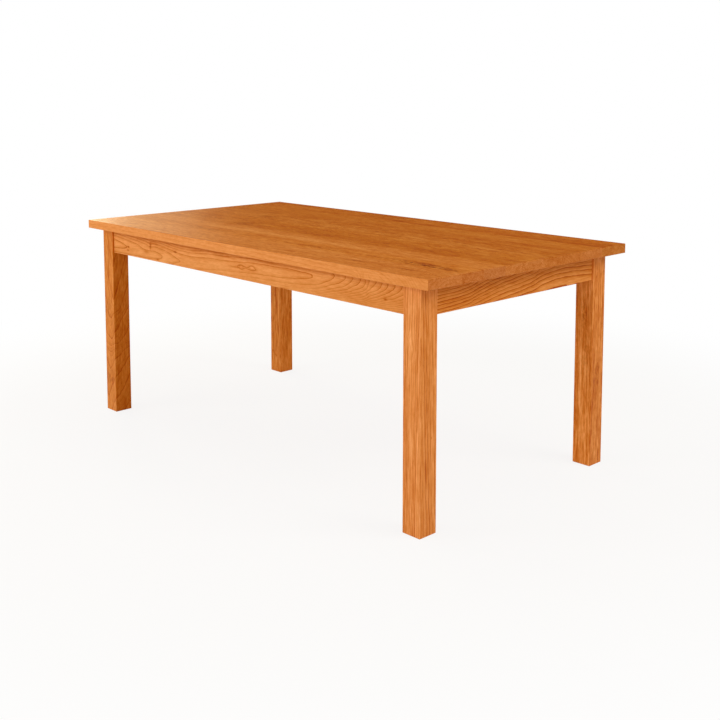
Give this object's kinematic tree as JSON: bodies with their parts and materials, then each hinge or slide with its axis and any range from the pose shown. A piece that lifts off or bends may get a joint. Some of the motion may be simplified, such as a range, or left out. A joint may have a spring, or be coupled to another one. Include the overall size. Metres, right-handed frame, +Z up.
{
  "type": "dining table",
  "caption": "Rectangular parsons-style dining table in solid cherry: a thick edge-glued top on square legs, with aprons set back a little behind the leg faces.",
  "frame": {"origin": "on the floor under the middle of the top", "axes": "+X along the table to its right end, +Y from front to rear, +Z up"},
  "size_m": [1.829, 0.978, 0.762],
  "materials": {
    "cherry": "satin clear oil-varnish on cherry",
    "cherry_inside": "cherry, thinly sealed",
    "zinc_plated_steel": "zinc plated"
  },
  "bodies": {
    "root": {"top_board_1": "cherry", "top_board_2": "cherry", "top_board_3": "cherry", "top_board_4": "cherry", "top_board_5": "cherry", "top_board_6": "cherry", "top_board_7": "cherry", "front_left_leg": "cherry", "front_right_leg": "cherry", "rear_left_leg": "cherry", "rear_right_leg": "cherry", "front_apron": "cherry", "rear_apron": "cherry", "left_apron": "cherry", "right_apron": "cherry", "cross_rail": "cherry_inside", "front_left_corner_block": "cherry_inside", "front_right_corner_block": "cherry_inside", "rear_left_corner_block": "cherry_inside", "rear_right_corner_block": "cherry_inside", "front_button_1": "cherry_inside", "front_button_2": "cherry_inside", "front_button_3": "cherry_inside", "front_button_4": "cherry_inside", "rear_button_1": "cherry_inside", "rear_button_2": "cherry_inside", "rear_button_3": "cherry_inside", "rear_button_4": "cherry_inside", "left_button_1": "cherry_inside", "left_button_2": "cherry_inside", "right_button_1": "cherry_inside", "right_button_2": "cherry_inside", "button_screws": "zinc_plated_steel", "rail_screws": "zinc_plated_steel", "rail_washers": "zinc_plated_steel", "hanger_bolts": "zinc_plated_steel", "bolt_washers": "zinc_plated_steel", "bolt_nuts": "zinc_plated_steel", "block_screws": "zinc_plated_steel"}
  },
  "joints": []
}
